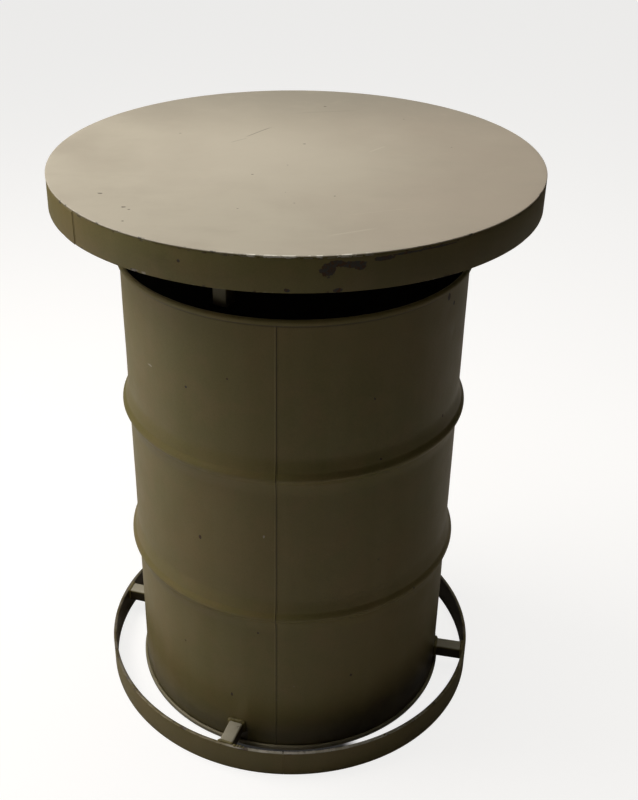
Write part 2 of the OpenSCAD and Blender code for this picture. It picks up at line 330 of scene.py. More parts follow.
def cut_holes(piece, holes):
    """Cuts upright round holes, given as (centre, radius), through a piece."""
    bm = bmesh.new()
    for centre, radius in holes:
        bmesh.ops.create_cone(
            bm, cap_ends=True, segments=96, radius1=radius, radius2=radius, depth=20 * MM,
            matrix=Matrix.Translation(centre),
        )
    cutter = finish_mesh("hole_cutter", bm)
    modifier = piece.modifiers.new("holes", "BOOLEAN")
    modifier.operation = "DIFFERENCE"
    modifier.solver = "EXACT"
    modifier.object = cutter
    graph = bpy.context.evaluated_depsgraph_get()
    mesh = bpy.data.meshes.new_from_object(piece.evaluated_get(graph))
    piece.modifiers.clear()
    piece.data = mesh
    mesh.set_sharp_from_angle(angle=math.radians(32))
    bpy.data.objects.remove(cutter)


# ------------------------------------------------------------------ material helpers


class Paintbox:
    """Makes the nodes of one material. Each method returns the output socket it made."""

    def __init__(self, name):
        self.material = bpy.data.materials.new(name)
        self.material.use_nodes = True
        self.tree = self.material.node_tree
        self.tree.nodes.clear()
        self.shader = self.tree.nodes.new("ShaderNodeBsdfPrincipled")
        self.output = self.tree.nodes.new("ShaderNodeOutputMaterial")
        self.tree.links.new(self.shader.outputs["BSDF"], self.output.inputs["Surface"])
        self.position = self.tree.nodes.new("ShaderNodeTexCoord").outputs["Object"]
        axes = self.tree.nodes.new("ShaderNodeSeparateXYZ")
        self.link(self.position, axes.inputs[0])
        self.x, self.y, self.z = axes.outputs

    def link(self, value, socket):
        """Feeds a socket from another socket, or sets it to a constant."""
        if isinstance(value, bpy.types.NodeSocket):
            self.tree.links.new(value, socket)
        else:
            socket.default_value = value

    def math(self, operation, a, b=0.0):
        node = self.tree.nodes.new("ShaderNodeMath")
        node.operation = operation
        self.link(a, node.inputs[0])
        self.link(b, node.inputs[1])
        return node.outputs[0]

    def plus(self, a, b):
        return self.math("ADD", a, b)

    def minus(self, a, b):
        return self.math("SUBTRACT", a, b)

    def step(self, value, low, high):
        """0 below low and 1 above high, with a smooth rise between; low may be above high."""
        node = self.tree.nodes.new("ShaderNodeMapRange")
        node.interpolation_type = "SMOOTHSTEP"
        flip = low > high
        self.link(value, node.inputs["Value"])
        node.inputs["From Min"].default_value = high if flip else low
        node.inputs["From Max"].default_value = low if flip else high
        node.inputs["To Min"].default_value = 1.0 if flip else 0.0
        node.inputs["To Max"].default_value = 0.0 if flip else 1.0
        return node.outputs["Result"]

    def times(self, *values):
        product = values[0]
        for value in values[1:]:
            product = self.math("MULTIPLY", product, value)
        return product

    def most(self, *values):
        best = values[0]
        for value in values[1:]:
            best = self.math("MAXIMUM", best, value)
        return best

    def band(self, value, low, high, soft):
        """1 between low and high."""
        return self.times(
            self.step(value, low - soft, low + soft), self.step(value, high + soft, high - soft)
        )

    def mapped(self, kind, scale, offset, stretch=(1, 1, 1)):
        """A texture node laid over the piece, moved by offset and then stretched."""
        mapping = self.tree.nodes.new("ShaderNodeMapping")
        self.link(self.position, mapping.inputs["Vector"])
        mapping.inputs["Location"].default_value = offset
        mapping.inputs["Scale"].default_value = stretch
        node = self.tree.nodes.new(kind)
        self.link(mapping.outputs[0], node.inputs["Vector"])
        node.inputs["Scale"].default_value = scale
        return node

    def noise(self, scale, detail=3.0, roughness=0.55, stretch=(1, 1, 1), seed=0.0):
        offset = (seed, seed * 0.37, seed * 0.71)
        node = self.mapped("ShaderNodeTexNoise", scale, offset, stretch)
        node.inputs["Detail"].default_value = detail
        node.inputs["Roughness"].default_value = roughness
        return node.outputs["Fac"]

    def cells(self, scale, seed=0.0):
        """Distance to the nearest of scattered points, in units of 1 / scale."""
        offset = (seed, seed * 0.53, seed * 0.29)
        return self.mapped("ShaderNodeTexVoronoi", scale, offset).outputs["Distance"]

    def mix(self, factor, a, b):
        node = self.tree.nodes.new("ShaderNodeMix")
        node.data_type = "RGBA"
        self.link(factor, node.inputs[0])
        self.link(a if isinstance(a, bpy.types.NodeSocket) else (*a, 1), node.inputs[6])
        self.link(b if isinstance(b, bpy.types.NodeSocket) else (*b, 1), node.inputs[7])
        return node.outputs[2]

    def radius(self, centre=(0, 0)):
        x = self.minus(self.x, centre[0])
        y = self.minus(self.y, centre[1])
        squares = self.plus(self.times(x, x), self.times(y, y))
        return self.math("SQRT", squares)

    def azimuth(self):
        """The azimuth in degrees, from -180 to 180."""
        turn = self.math("ARCTAN2", self.x, self.times(self.y, -1.0))
        return self.times(turn, 180 / math.pi)

    def spot(self, across, up, at, half, ragged):
        """1 inside a ragged-edged oval, in any two coordinates."""
        a = self.times(self.minus(across, at[0]), 1 / half[0])
        b = self.times(self.minus(up, at[1]), 1 / half[1])
        reach = self.math("SQRT", self.plus(self.times(a, a), self.times(b, b)))
        return self.step(self.plus(reach, ragged), 1.08, 0.92)

    def spots(self, across, up, table, ragged):
        """The highest of many spots; the table holds (place, half size) pairs."""
        return self.most(*[self.spot(across, up, at, half, ragged) for at, half in table])

    def ragged(self, scale, detail, amount, roughness=0.55):
        """Noise round 0, to fray the edge of a spot."""
        return self.times(self.minus(self.noise(scale, detail, roughness), 0.5), amount)

    def bump(self, *layers):
        """Stacks (height, depth in metres) layers into the shader's normal."""
        normal = None
        for height, depth in layers:
            node = self.tree.nodes.new("ShaderNodeBump")
            node.inputs["Strength"].default_value = 1.0
            node.inputs["Distance"].default_value = depth
            self.link(height, node.inputs["Height"])
            if normal is not None:
                self.link(normal, node.inputs["Normal"])
            normal = node.outputs[0]
        self.link(normal, self.shader.inputs["Normal"])

    def finish(self, color, roughness, metallic=0.0):
        self.link(color, self.shader.inputs["Base Color"])
        self.link(roughness, self.shader.inputs["Roughness"])
        self.link(metallic, self.shader.inputs["Metallic"])
        return self.material


KHAKI = (0.216, 0.177, 0.070)
KHAKI_GREEN = (0.196, 0.174, 0.064)
KHAKI_WARM = (0.238, 0.180, 0.076)
KHAKI_PALE = (0.31, 0.27, 0.15)
# lighter khaki for painted highlights
KHAKI_HIGHLIGHT = (0.44, 0.42, 0.33)
PALE_TOP = (0.488, 0.456, 0.374)
PALE_TOP_PINK = (0.452, 0.400, 0.330)
PALE_TOP_DULL = (0.420, 0.386, 0.315)
# the next two tones paint shade towards the back of the top and a pool of light near its middle
PALE_TOP_SHADED = (0.358, 0.333, 0.276)
PALE_TOP_LIT = (0.562, 0.525, 0.437)
BARE_STEEL = (0.060, 0.058, 0.054)
BRIGHT_STEEL = (0.62, 0.60, 0.55)
RUST = (0.085, 0.040, 0.018)
DUST = (0.30, 0.27, 0.21)
# dark tone for real grime, dark scratches and pits, and for painted shade
GRIME_AND_SHADE = (0.040, 0.030, 0.018)
# near-black that paints the deep shade under the table
SHADE_BLACK = (0.003, 0.003, 0.0026)
ZINC = (0.50, 0.50, 0.47)
ZINC_DULL = (0.33, 0.33, 0.31)
RUBBER = (0.030, 0.028, 0.026)


def khaki_coat(box, seed):
    """The khaki coat all over: three close tones in clouds, with faint runs down the sides."""
    clouds = box.step(box.noise(3.2, 3, 0.55, seed=seed), 0.36, 0.64)
    patches = box.step(box.noise(15, 4, 0.6, seed=seed + 3), 0.42, 0.68)
    runs = box.step(box.noise(30, 3, 0.5, (1, 1, 0.06), seed + 5), 0.40, 0.70)
    color = box.mix(clouds, KHAKI_GREEN, KHAKI)
    color = box.mix(box.times(patches, 0.55), color, KHAKI_WARM)
    color = box.mix(box.times(runs, 0.09), color, KHAKI_PALE)
    speckle = box.step(box.noise(420, 2, 0.5, seed=seed + 9), 0.35, 0.75)
    return box.mix(box.times(speckle, 0.10), color, GRIME_AND_SHADE)


def flecks(box, scale, share, size, seed):
    """Small scattered chips, in clusters: share of the cells has one, size is its radius in cells."""
    there = box.step(box.noise(scale * 0.45, 1, 0.5, seed=seed + 1), 1 - share - 0.02, 1 - share + 0.02)
    ragged = box.times(box.minus(box.noise(scale * 6, 2, seed=seed + 2), 0.5), 0.16)
    near = box.step(box.plus(box.cells(scale, seed), ragged), size * 1.15, size * 0.85)
    return box.times(there, near)


def painted(name, seed, chips=None, bright=None, grime_and_shade=None, gloss=0.40, pale=None):
    """Khaki paint on steel.

    chips, bright, grime and pale are functions of the box that return masks.
    pale paints a highlight in lighter khaki; grime mixes in a dark tone, for real dirt and for painted
    shade.
    """
    box = Paintbox(name)
    color = khaki_coat(box, seed)
    # painted highlight: lighter khaki where the mask says light falls
    if pale:
        color = box.mix(pale(box), color, KHAKI_HIGHLIGHT)
    # dark tone: real dirt, and painted shade where a material's mask puts it
    if grime_and_shade:
        color = box.mix(grime_and_shade(box), color, GRIME_AND_SHADE)
    chip = flecks(box, 34, 0.33, 0.085, seed + 20)
    if chips:
        chip = box.most(chip, chips(box))
    depth = box.step(box.noise(240, 2, seed=seed + 4), 0.44, 0.60)
    color = box.mix(chip, color, box.mix(depth, BARE_STEEL, RUST))
    dusty = flecks(box, 26, 0.30, 0.05, seed + 31)
    color = box.mix(box.times(dusty, 0.8), color, DUST)
    roughness = box.plus(gloss, box.times(box.noise(22, 4, 0.6, seed=seed + 6), 0.16))
    roughness = box.plus(roughness, box.times(chip, 0.16))
    metallic = 0.0
    if bright:
        worn = bright(box)
        color = box.mix(worn, color, BRIGHT_STEEL)
        metallic = box.times(worn, 0.85)
    peel = box.noise(620, 2, 0.5, seed=seed + 7)
    brushed = box.noise(85, 3, 0.55, seed=seed + 8)
    box.bump((peel, 0.05 * MM), (brushed, 0.22 * MM), (box.times(chip, -1.0), 0.14 * MM))
    return box.finish(color, roughness, metallic)


# ------------------------------------------------------------------ drum


def cosine_wave(off, half):
    """1 on a wave's crest, 0 from half above or below it."""
    return (1 + math.cos(math.pi * off / half)) / 2 if abs(off) < half else 0


def hoop_rise(z):
    """How far the rolling hoops stand out of the wall at a height."""
    rise = 0
    for crest in HOOP_LEVELS:
        rise += SWELL_OUT * cosine_wave(z - crest, SWELL_HALF)
        rise += (HOOP_OUT - SWELL_OUT) * cosine_wave(z - crest, CREST_HALF)
    return rise


# azimuth, height, half width and depth of the larger dents in the drum
DRUM_KNOCKS = (
    (57, 0.82, 0.014, 0.9 * MM),
    (63, 0.775, 0.010, 0.7 * MM),
    (-38, 0.445, 0.030, 0.9 * MM),
    (24, 0.13, 0.040, 1.1 * MM),
    (142, 0.46, 0.045, 1.6 * MM),
    (-130, 0.70, 0.035, 1.2 * MM),
    (188, 0.16, 0.030, 1.2 * MM),
)


def sheet_dent(azimuth, z):
    """Slight unevenness of the drum's sheet, none at its chimes."""
    fade = min(1, (z - CHIME_H) / 0.05, (DRUM_H - CHIME_H - z) / 0.05)
    point = polar(azimuth, 0.3, z)
    rolling = 0.42 * wave(point, 7.0, 3.1) + 0.20 * wave(point, 17.0, 8.4)
    knocks = 0
    for at, height, width, depth in DRUM_KNOCKS:
        along = math.radians((azimuth - at + 180) % 360 - 180) * BODY_R
        knocks -= depth * math.exp(-(along ** 2 + (z - height) ** 2) / width ** 2)
    return max(0, fade) * (rolling * MM + knocks)


def wall_radius(azimuth, z):
    return BODY_R + hoop_rise(z) + sheet_dent(azimuth, z)


def wall_levels(low, high):
    """Heights for the wall's rows: close together in the hoops, wider apart between."""
    levels = [low]
    while levels[-1] < high - 9 * MM:
        off = min(abs(levels[-1] - crest) for crest in HOOP_LEVELS)
        step = 1.4 * MM if off < CREST_HALF + 3 * MM else 3 * MM if off < SWELL_HALF + 4 * MM else 8 * MM
        levels.append(levels[-1] + step)
    return levels + [high]


def build_wall():
    levels = wall_levels(FOLD_CAP, DRUM_H - FOLD_CAP)
    inner_levels = levels[:-1:2] + levels[-1:]
    outline = [(BODY_R, z) for z in levels] + [(BODY_R - SHEET, z) for z in reversed(inner_levels)]

    def warp(azimuth, radius, z):
        return radius - BODY_R + wall_radius(azimuth, z), z

    return revolved("drum_wall", outline, 320, warp)


SEAM_SECTION = (
    (-3.0, -0.40), (-2.6, 0.02), (-2.1, 0.34), (-1.0, 0.40), (-0.2, 0.36), (0.0, 0.16), (0.2, 0.34),
    (1.2, 0.30), (2.4, 0.16), (3.2, -0.40),
)


def build_seam():
    """The body's welded seam: a flat raised strip with a fine line down its middle."""
    bm = bmesh.new()
    rows = []
    levels = wall_levels(CHIME_H, DRUM_H - CHIME_H)
    levels = [z for low, high in zip(levels, levels[1:]) for z in (low, (low + high) / 2)] + levels[-1:]
    for z in levels:
        row = []
        for across, rise in SEAM_SECTION:
            drift = 0.25 * wave((0, 0, z), 9.0, 2.0)
            azimuth = SEAM_AZ + math.degrees((across + drift) * MM / BODY_R)
            lumps = 1 + 0.25 * wave((across, 0, z * 90), 1.0, 4.0) if rise > 0 else 1
            row.append(bm.verts.new(polar(azimuth, wall_radius(azimuth, z) + rise * lumps * MM, z)))
        rows.append(row)
    add_skin(bm, rows)
    return finish_mesh("drum_seam", bm)


def head_outline(sign, edge_z):
    """Half section of a head with its folded chime. sign is 1 for the top and -1 for the bottom."""
    fold_r = (CHIME_R - FOLD_IN_R) / 2
    skirt_r = (CHIME_R - BODY_R) / 2
    corner = FOLD_IN_R - HEAD_CORNER
    floor = -HEAD_RECESS
    points = [(0, floor), (0.08, floor), (0.16, floor), (0.225, floor), (0.235, floor - 0.5 * MM)]
    points += [(0.245, floor - 0.5 * MM), (0.255, floor)]
    points += arc_points(corner, floor + HEAD_CORNER, HEAD_CORNER, -90, 0, 6)
    points += arc_points(FOLD_IN_R + fold_r, -fold_r, fold_r, 180, 0, 12)
    points += [(CHIME_R + 0.15 * MM, -0.4 * CHIME_H), (CHIME_R, -0.7 * CHIME_H)]
    points += arc_points(CHIME_R - skirt_r, skirt_r - CHIME_H, skirt_r, 0, -150, 8)
    points += [(BODY_R, -CHIME_H + skirt_r), (BODY_R, -FOLD_CAP), (BODY_R - SHEET, -FOLD_CAP)]
    outer_corner = HEAD_CORNER + SHEET
    points += arc_points(corner, floor + HEAD_CORNER, outer_corner, 0, -90, 6)
    points += [(0.16, floor - SHEET), (0, floor - SHEET)]
    return [(r, edge_z + sign * z) for r, z in points]


def chime_warp(azimuth, radius, z):
    """Small knocks along the chime's edge."""
    if radius < FOLD_IN_R:
        return radius, z
    point = polar(azimuth, radius, 0)
    return radius + 0.18 * MM * wave(point, 14, z * 50), z + 0.15 * MM * wave(point, 22, 5)


def closure_place(azimuth):
    return polar(azimuth, BUNG_R, HEAD_Z)


def bore_radius(thread):
    return thread / 2 + THREAD_GAP


def neck_radius(thread):
    return bore_radius(thread) + NECK_WALL


def build_top_head():
    piece = revolved("top_head_pressing", head_outline(1, DRUM_H), 320, chime_warp)
    holes = (
        (closure_place(BUNG_AZ), neck_radius(BUNG_THREAD)),
        (closure_place(BUNG_AZ + 180), neck_radius(VENT_THREAD)),
    )
    cut_holes(piece, holes)
    return piece


def build_bottom_head():
    return revolved("bottom_head_pressing", head_outline(-1, 0), 320, chime_warp)


# ------------------------------------------------------------------ bungs

PLUG_RIM_Z = 4.5 * MM
PLUG_RIM_T = 3 * MM
PLUG_BOTTOM = -9 * MM
PLUG_WALL = 3.5 * MM
PLUG_FLOOR = 3 * MM
THREAD_DEPTH = 1.1 * MM
LUG_W = 4 * MM
LUG_H = 5 * MM


def build_plug(name, azimuth, thread, pitch):
    """A cup-shaped plug with a rolled rim, two wrench lugs and a right-hand pipe thread."""
    cup_r = thread / 2 - PLUG_WALL
    cup_z = PLUG_BOTTOM + PLUG_FLOOR
    rim_top = PLUG_RIM_Z + PLUG_RIM_T
    rim_r = neck_radius(thread)
    thread_rows = 56
    top_of_thread = PLUG_RIM_Z - 1 * MM
    rise = top_of_thread - PLUG_BOTTOM
    rows = [(thread / 2, PLUG_BOTTOM + rise * k / thread_rows) for k in range(thread_rows + 1)]
    outline = [(0, PLUG_BOTTOM)] + rows
    outline += [(thread / 2 - 0.4 * MM, PLUG_RIM_Z)]
    outline += rounded((
        (rim_r, PLUG_RIM_Z, 0.9 * MM), (rim_r, rim_top, 1.1 * MM), (cup_r, rim_top, 0.9 * MM),
        (cup_r, cup_z, 1.5 * MM), (0.3 * cup_r, cup_z, 0),
    ))
    outline += [(0, cup_z)]

    def warp(turn, radius, z):
        if radius != thread / 2:
            return radius, z
        phase = (z / pitch + turn / 360) % 1
        groove = THREAD_DEPTH * min(1, 2.4 * abs(phase - 0.5))
        runout = min(1, (z - PLUG_BOTTOM) / (0.6 * pitch), (top_of_thread - z) / (0.6 * pitch))
        return radius - THREAD_DEPTH + (THREAD_DEPTH - groove) * max(0, runout), z

    bm = bmesh.new()
    segments = 96
    add_revolved(bm, outline, [360 * i / segments for i in range(segments)], True, warp)
    for side in (-1, 1):
        add_lug(bm, side * thread / 8, cup_r, cup_z)
    bmesh.ops.translate(bm, verts=bm.verts, vec=closure_place(azimuth))
    return finish_mesh(name, bm)


def add_lug(bm, offset, cup_r, cup_z):
    """A wrench lug across the floor of a plug's cup."""
    section = rounded((
        (-LUG_W / 2, -1 * MM, 0), (LUG_W / 2, -1 * MM, 0),
        (LUG_W / 2, LUG_H, 1.2 * MM), (-LUG_W / 2, LUG_H, 1.2 * MM),
    ))
    rings = []
    for side in (-1, -0.5, 0, 0.5, 1):
        ring = []
        for across, up in section:
            y = offset + across
            reach = math.sqrt(cup_r ** 2 - y ** 2) + 0.5 * MM
            ring.append(bm.verts.new((side * reach, y, cup_z + up)))
        rings.append(ring)
    add_skin(bm, rings)


# ------------------------------------------------------------------ posts and bearers


def post_azimuths():
    return [POST_AZ + 90 * i for i in range(4)]


def build_post(number, azimuth):
    bm = bmesh.new()
    place = upright_place(azimuth, POST_R)
    add_tube(bm, place, lambda u, v: HEAD_Z, lambda u, v: BEARER_Z)
    return finish_mesh(f"post_{number}_tube", bm)


def band_reach(u, v):
    """Where a radial bar meets the inside of the rim band."""
    return math.sqrt(BAND_IN_R ** 2 - u ** 2)


def build_bearer(name, azimuth, near):
    bm = bmesh.new()
    add_tube(bm, radial_place(azimuth, BEARER_Z + TUBE_W / 2), near, band_reach, 14)
    return finish_mesh(name, bm)


def build_post_foot_welds():
    bm = bmesh.new()
    half = TUBE_W / 2 + 0.4 * MM
    turns = ((-1, -1), (1, -1), (1, 1), (-1, 1))
    for number, azimuth in enumerate(post_azimuths()):
        place = upright_place(azimuth, POST_R)
        corners = [place(half * u, half * v, HEAD_Z + 0.4 * MM) for u, v in turns]
        loop = corners + corners[:1]
        add_bead(bm, loop, BEAD_R, number)
    return finish_mesh("post_foot_beads", bm, 60)


def build_post_head_welds():
    bm = bmesh.new()
    half = TUBE_W / 2 + 0.3 * MM
    for number, azimuth in enumerate(post_azimuths()):
        place = upright_place(azimuth, POST_R)
        for side in (-half, half):
            path = [place(end * (TUBE_W / 2 - BEAD_R), side, BEARER_Z - 0.3 * MM) for end in (-1, 1)]
            add_bead(bm, path, BEAD_R, number + side)
    return finish_mesh("post_head_beads", bm, 60)


def build_bearer_welds():
    bm = bmesh.new()
    half = TUBE_W / 2 + 0.3 * MM
    low, high = BEARER_Z + BEAD_R, PLATE_Z - BEAD_R
    at_rim = BAND_IN_R - 0.8 * MM
    for number, azimuth in enumerate(post_azimuths()):
        place = radial_place(azimuth, 0)
        for seed, (u, w) in enumerate(((half, half), (-half, at_rim), (half, at_rim))):
            add_bead(bm, [place(u, low, w), place(u, high, w)], BEAD_R, number * 3 + seed)
    return finish_mesh("bearer_beads", bm, 60)


# ------------------------------------------------------------------ table top

RIM_JOINT_STEP = 0.8 * MM


def rim_stand_off(azimuth):
    """The band springs out a little on the left of its joint."""
    left_of_joint = (RIM_JOINT_AZ - azimuth) % 360
    return RIM_JOINT_STEP * math.exp(-left_of_joint / 7)


def rim_warp(azimuth, radius, z):
    point = polar(azimuth, radius, z)
    radius += rim_stand_off(azimuth) + 0.22 * MM * wave(point, 6, 1.5)
    if z < BAND_Z + 3 * MM:
        z += 0.30 * MM * wave(point, 16, 7.7)
        nick = max(0, wave((point.x, point.y, 0), 42, 11.3) - 0.45)
        z += 2.2 * MM * nick
    if z > PLATE_Z - 2 * MM and radius > BAND_IN_R + BAR_T / 2:
        radius -= 0.8 * MM * max(0, wave((point.x, point.y, 0), 30, 4.2) + 0.15)
    return radius, z


def build_rim():
    outline = rounded((
        (BAND_IN_R, BAND_Z, 0.7 * MM), (TOP_R, BAND_Z, 1.0 * MM),
        (TOP_R, PLATE_Z, 0.7 * MM), (BAND_IN_R, PLATE_Z, 0),
    ), 3)
    return open_hoop("rim_hoop", outline, RIM_JOINT_AZ, TOP_R, 480, rim_warp)


def add_ground_joint(bm, azimuth, r_in, r_out, low, high, proud, sunk):
    """A hoop's butt weld, ground nearly flush, with a fine groove down one side."""
    half = JOINT_GAP / 2 + 0.1 * MM
    section = (
        (-half, r_in), (half, r_in), (half, r_out - sunk),
        (0.6 * half, r_out + proud), (-0.7 * half, r_out + proud), (-half, r_out),
    )
    rows = []
    count = 24
    place = radial_place(azimuth, 0)
    for k in range(count + 1):
        z = low + (high - low) * k / count
        wobble = 0.12 * MM * wave((0, 0, z), 260, azimuth)
        rows.append([bm.verts.new(place(u, z, w + (wobble if w > r_in else 0))) for u, w in section])
    add_skin(bm, rows)


def build_rim_joint():
    bm = bmesh.new()
    add_ground_joint(
        bm, RIM_JOINT_AZ, BAND_IN_R, TOP_R, BAND_Z + 1 * MM, PLATE_Z - 0.2 * MM, 0.25 * MM, 0.5 * MM
    )
    return finish_mesh("rim_joint_bead", bm)


def plate_warp(azimuth, radius, z):
    point = polar(azimuth, radius, 0)
    if z > PLATE_Z + PLATE_T / 2:
        fade = min(1, (TOP_R - radius) / 0.02) if radius < TOP_R else 0
        z += fade * (0.30 * MM * wave(point, 5.5, 9.1) + 0.10 * MM * wave(point, 14, 2.2))
    if radius > TOP_R - 2 * MM:
        worn = max(0, wave(point, 34, 6.6) - 0.1) * math.exp(-((azimuth + 180) % 360 - 183) ** 2 / 900)
        radius -= 0.9 * MM * worn
        z -= 0.5 * MM * worn
    return radius, z


def build_plate():
    rings = [0.02, 0.06, 0.10, 0.14, 0.18, 0.22, 0.26, 0.30, 0.33, 0.36, 0.38]
    outline = [(0, TABLE_H)] + [(r, TABLE_H) for r in rings]
    outline += arc_points(TOP_R - 1.1 * MM, TABLE_H - 1.1 * MM, 1.1 * MM, 90, 0, 5)
    outline += [(TOP_R, PLATE_Z + 0.6 * MM), (TOP_R - 0.5 * MM, PLATE_Z + 0.02 * MM)]
    outline += [(TOP_R - 5 * MM, PLATE_Z), (0.2, PLATE_Z), (0, PLATE_Z)]
    return revolved("top_plate", outline, 480, plate_warp)


def build_stitch_welds():
    """Short fillets under the plate, in the corner with the rim band."""
    bm = bmesh.new()
    count = 12
    half_sweep = 2.3
    for i in range(count):
        middle = POST_AZ + 360 / count * (i + 0.5)
        path = [
            polar(middle + half_sweep * share, BAND_IN_R - 1 * MM, PLATE_Z - 1 * MM)
            for share in (-1, -0.5, 0, 0.5, 1)
        ]
        add_bead(bm, path, 3.6 * MM, i * 1.7)
    return finish_mesh("plate_stitch_beads", bm, 60)


# ------------------------------------------------------------------ foot ring


def ring_warp(azimuth, radius, z):
    point = polar(azimuth, radius, z)
    radius += 0.35 * MM * wave((point.x, point.y, 0), 5.0, 12.0)
    if z > RING_H - 2 * MM:
        z += 0.22 * MM * wave(point, 11, 3.3)
        z -= 1.2 * MM * max(0, wave((point.x, point.y, 0), 48, 21.0) - 0.42)
    return radius, z


def moved_to_ring(piece):
    """The ring was welded on by eye, a little off the drum's axis."""
    piece.data.transform(Matrix.Translation((RING_OFF_X, RING_OFF_Y, 0)))
    return piece


def ring_reach(azimuth, sideways):
    """Distance along an azimuth from the drum's axis to the ring's inner face."""
    a = math.radians(azimuth)
    along = RING_OFF_X * math.sin(a) - RING_OFF_Y * math.cos(a)
    across = RING_OFF_X * math.cos(a) + RING_OFF_Y * math.sin(a)
    return along + math.sqrt(RING_IN_R ** 2 - (sideways - across) ** 2)


def build_ring():
    outline = bar_outline(RING_IN_R, RING_R, 0, RING_H, 0.8 * MM)
    return moved_to_ring(open_hoop("foot_ring_hoop", outline, RING_JOINT_AZ, RING_R, 480, ring_warp))


def build_ring_joint():
    bm = bmesh.new()
    add_ground_joint(
        bm, RING_JOINT_AZ, RING_IN_R, RING_R, 1 * MM, RING_H - 1.4 * MM, 0.35 * MM, 0.5 * MM
    )
    return moved_to_ring(finish_mesh("foot_ring_joint_bead", bm))


def build_bracket(number, azimuth):
    bm = bmesh.new()
    add_tube(
        bm,
        radial_place(azimuth, BRACKET_Z + TUBE_W / 2),
        lambda u, v: math.sqrt((BODY_R - 0.6 * MM) ** 2 - u ** 2),
        lambda u, v: ring_reach(azimuth, u),
        6,
    )
    return finish_mesh(f"bracket_{number}_tube", bm)


def build_bracket_welds():
    """Beads up one side, over the top and down the other side of each bracket's ends."""
    bm = bmesh.new()
    half = TUBE_W / 2 + 0.3 * MM
    low = BRACKET_Z + BEAD_R
    top = RING_H + 0.2 * MM
    for number, azimuth in enumerate(BRACKET_AZ):
        place = radial_place(azimuth, 0)
        for end in (0, 1):
            def at(u, z):
                if end == 0:
                    return place(u, z, math.sqrt((BODY_R + 0.9 * MM) ** 2 - u ** 2))
                return place(u, z, ring_reach(azimuth, u) - 0.9 * MM)
            path = [
                at(-half, low), at(-half, top - 2 * MM), at(-half + 2 * MM, top),
                at(half - 2 * MM, top), at(half, top - 2 * MM), at(half, low),
            ]
            add_bead(bm, path, (4.4 if end == 0 else 2.8) * MM, number * 2.3 + end)
    for azimuth, outwards, size in (
        (30.7, 3.5, 1.9), (-15.0, 1.5, 3.0), (-14.1, 1.0, 2.4), (-13.2, 1.6, 2.8), (-12.3, 1.8, 2.0),
    ):
        reach = ring_reach(azimuth, 0) + outwards * MM
        add_blob(bm, polar(azimuth, reach, RING_H + 0.1 * MM), size * MM, size)
    for i in range(14):
        azimuth = BRACKET_AZ[i % 4] + 7.5 * wave((i, 0.3, 0), 1.7, 5.0)
        height = RING_H + 0.012 * wave((0.2, i, 0), 1.9, 6.0)
        add_blob(bm, polar(azimuth, BODY_R + 0.2 * MM, height), (0.7 + 0.05 * (i % 5)) * MM, i)
    return finish_mesh("bracket_beads", bm, 60)


# ------------------------------------------------------------------ materials


DRUM_CHIPS = (
    # azimuth and height; half sizes in degrees and in metres
    ((-33.4, 0.7231), (0.45, 0.0022)),
    ((-18.6, 0.7570), (0.30, 0.0016)),
    ((-30.3, 0.4433), (0.55, 0.0040)),
    ((-9.7, 0.2701), (0.40, 0.0022)),
    ((23.1, 0.1624), (0.42, 0.0030)),
    ((57.0, 0.8440), (0.9, 0.0060)),
    ((61.0, 0.8260), (0.5, 0.0040)),
    ((-19.7, 0.1140), (0.35, 0.0045)),
)
DRUM_BRIGHT_MARKS = (((-50.2, 0.7292), (1.3, 0.0016)), ((-7.5, 0.4750), (0.30, 0.0030)))


def drum_material():
    def chips(box):
        return box.spots(box.azimuth(), box.z, DRUM_CHIPS, box.ragged(160, 3, 1.1))

    def grime_and_shade(box):
        # Darker towards the bottom, reaching higher and more strongly on the right side; a dark line down
        # the seam; painted shade in the creases at both chimes; a painted shadow beside the front
        # bracket's foot.
        azimuth = box.azimuth()
        right = box.times(box.step(azimuth, -25, 45), box.step(azimuth, 178, 120))
        reach = box.plus(0.07, box.times(right, 0.06))
        low = box.step(box.minus(box.z, reach), 0.03, -0.10)
        foot = box.times(low, box.noise(9, 4, 0.6), box.plus(0.35, box.times(right, 1.2)))
        # painted shadow on the wall beside the front bracket
        bracket = box.spot(azimuth, box.z, (-15.4, 0.022), (1.5, 0.030), 0.0)
        seam = box.times(box.band(azimuth, SEAM_AZ - 0.14, SEAM_AZ + 0.14, 0.10), 0.9)
        # painted shade in the creases under the top chime and over the foot chime
        shade_under_top_chime = box.band(box.z, DRUM_H - CHIME_H - 0.003, DRUM_H - CHIME_H + 0.001, 0.002)
        shade_over_foot_chime = box.band(box.z, CHIME_H - 0.001, CHIME_H + 0.002, 0.002)
        chimes = box.times(box.most(shade_under_top_chime, shade_over_foot_chime), 0.70)
        return box.most(foot, seam, chimes, box.times(bracket, 0.8))

    def bright(box):
        crest = box.most(*[box.band(box.z, z - 0.006, z + 0.006, 0.003) for z in HOOP_LEVELS])
        scuffs = box.step(box.noise(120, 3, 0.6, (1, 1, 5), 40), 0.70, 0.78)
        marks = box.spots(box.azimuth(), box.z, DRUM_BRIGHT_MARKS, box.ragged(200, 3, 1.6))
        return box.most(box.times(crest, scuffs, 0.35), box.times(marks, 0.5))

    return painted("drum_paint", 1.0, chips, bright, grime_and_shade, 0.29)


def chime_material():
    """Khaki over the folded chime, with painted shade in the corner where it meets the wall."""
    def grime_and_shade(box):
        # painted shade in the crease
        groove = box.band(box.z, DRUM_H - CHIME_H - 0.001, DRUM_H - CHIME_H + 0.0018, 0.0010)
        return box.times(groove, 0.80)

    return painted("chime_paint", 2.0, None, None, grime_and_shade, 0.36)


